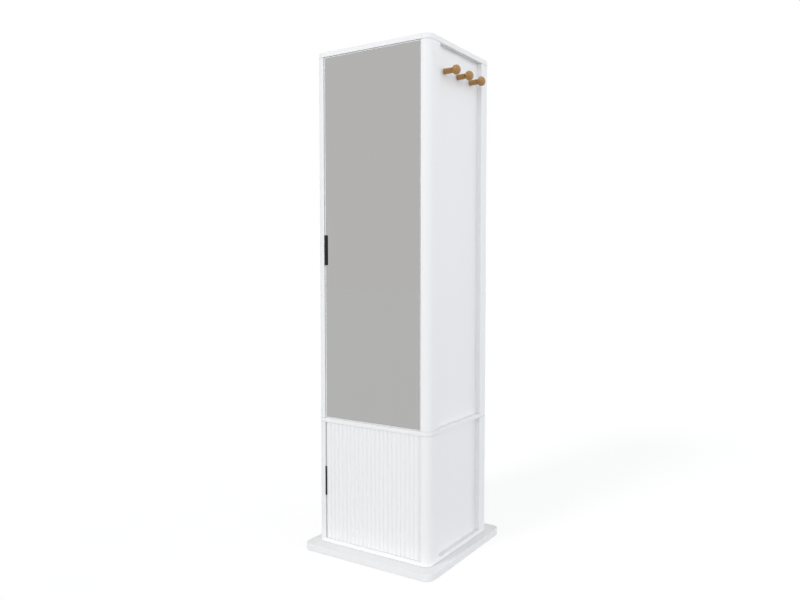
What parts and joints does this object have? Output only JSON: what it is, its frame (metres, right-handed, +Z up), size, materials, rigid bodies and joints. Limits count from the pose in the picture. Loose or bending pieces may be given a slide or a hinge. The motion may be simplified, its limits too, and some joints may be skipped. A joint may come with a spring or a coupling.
{
  "type": "revolving wardrobe cabinet",
  "caption": "Tall white cabinet that turns on a square base: mirror door above, reeded door below, shelves and a hanging rail inside, round-knobbed wooden coat pegs on both sides.",
  "frame": {"origin": "on the floor under the centre of the square base, on the swivel axis", "axes": "+Z up along the swivel axis, -Y out of the doors, +X to the right seen from the front, towards the doors' hinges"},
  "size_m": [0.5486, 0.526, 1.76],
  "materials": {
    "white_lacquer": "satin white lacquer on board",
    "oak": "clear satin varnish",
    "beech": "raw",
    "mirror": "polished",
    "black_metal": "black powder coat",
    "race_aluminium": "turned",
    "ball_steel": "polished",
    "nylon": "natural nylon",
    "chrome": "plated",
    "felt": "pressed felt",
    "catch_plastic": "moulded",
    "zinc_steel": "zinc plated"
  },
  "bodies": {
    "base": {"base_glides": "felt", "base_plate": "white_lacquer", "king_bolt_nut": "zinc_steel", "king_bolt_washer": "zinc_steel", "lower_race_screws": "zinc_steel", "swivel_king_bolt": "zinc_steel", "swivel_lower_race": "race_aluminium"},
    "ball_ring": {"swivel_ball_cage": "nylon", "swivel_balls": "ball_steel"},
    "column": {"bottom_board": "white_lacquer", "catch_screws": "zinc_steel", "divider_board": "white_lacquer", "frame_dowels": "beech", "hanging_rail": "chrome", "hat_shelf": "white_lacquer", "king_bolt_bush": "nylon", "left_front_peg": "oak", "left_middle_peg": "oak", "left_rail_socket": "chrome", "left_rear_peg": "oak", "lower_back_panel": "white_lacquer", "lower_front_left_post": "white_lacquer", "lower_front_right_post": "white_lacquer", "lower_left_panel": "white_lacquer", "lower_magnet_catch": "catch_plastic", "lower_rear_left_post": "white_lacquer", "lower_rear_right_post": "white_lacquer", "lower_right_panel": "white_lacquer", "lower_shelf": "white_lacquer", "middle_shelf": "white_lacquer", "peg_screws": "zinc_steel", "pivot_bushes": "nylon", "rail_socket_screws": "zinc_steel", "right_front_peg": "oak", "right_middle_peg": "oak", "right_rail_socket": "chrome", "right_rear_peg": "oak", "shelf_pins": "zinc_steel", "swivel_upper_race": "race_aluminium", "top_board": "white_lacquer", "upper_back_panel": "white_lacquer", "upper_front_left_post": "white_lacquer", "upper_front_right_post": "white_lacquer", "upper_left_panel": "white_lacquer", "upper_magnet_catch": "catch_plastic", "upper_race_screws": "zinc_steel", "upper_rear_left_post": "white_lacquer", "upper_rear_right_post": "white_lacquer", "upper_right_panel": "white_lacquer"},
    "upper_door": {"mirror_glass": "mirror", "upper_door_board": "white_lacquer", "upper_door_pivot_pins": "zinc_steel", "upper_handle": "black_metal", "upper_handle_screws": "zinc_steel", "upper_strike_plate": "zinc_steel"},
    "lower_door": {"lower_door_panel": "white_lacquer", "lower_door_pivot_pins": "zinc_steel", "lower_handle": "black_metal", "lower_handle_screws": "zinc_steel", "lower_strike_plate": "zinc_steel"}
  },
  "joints": [
    {"name": "column_spin", "type": "hinge", "parent": "base", "child": "column", "pos_m": [0, 0, 0.026], "axis": [0, 0, 1], "continuous": true},
    {"name": "ball_ring_spin", "type": "hinge", "parent": "base", "child": "ball_ring", "pos_m": [0, 0, 0.021], "axis": [0, 0, 1], "continuous": true},
    {"name": "upper_door_hinge", "type": "hinge", "parent": "column", "child": "upper_door", "pos_m": [0.1825, -0.205, 1.111], "axis": [0, 0, 1], "range_deg": [0, 100]},
    {"name": "lower_door_hinge", "type": "hinge", "parent": "column", "child": "lower_door", "pos_m": [0.1825, -0.205, 0.2525], "axis": [0, 0, 1], "range_deg": [0, 100]}
  ],
  "couplings": [
    {"joint": "ball_ring_spin", "follows": "column_spin", "ratio": 0.5}
  ]
}
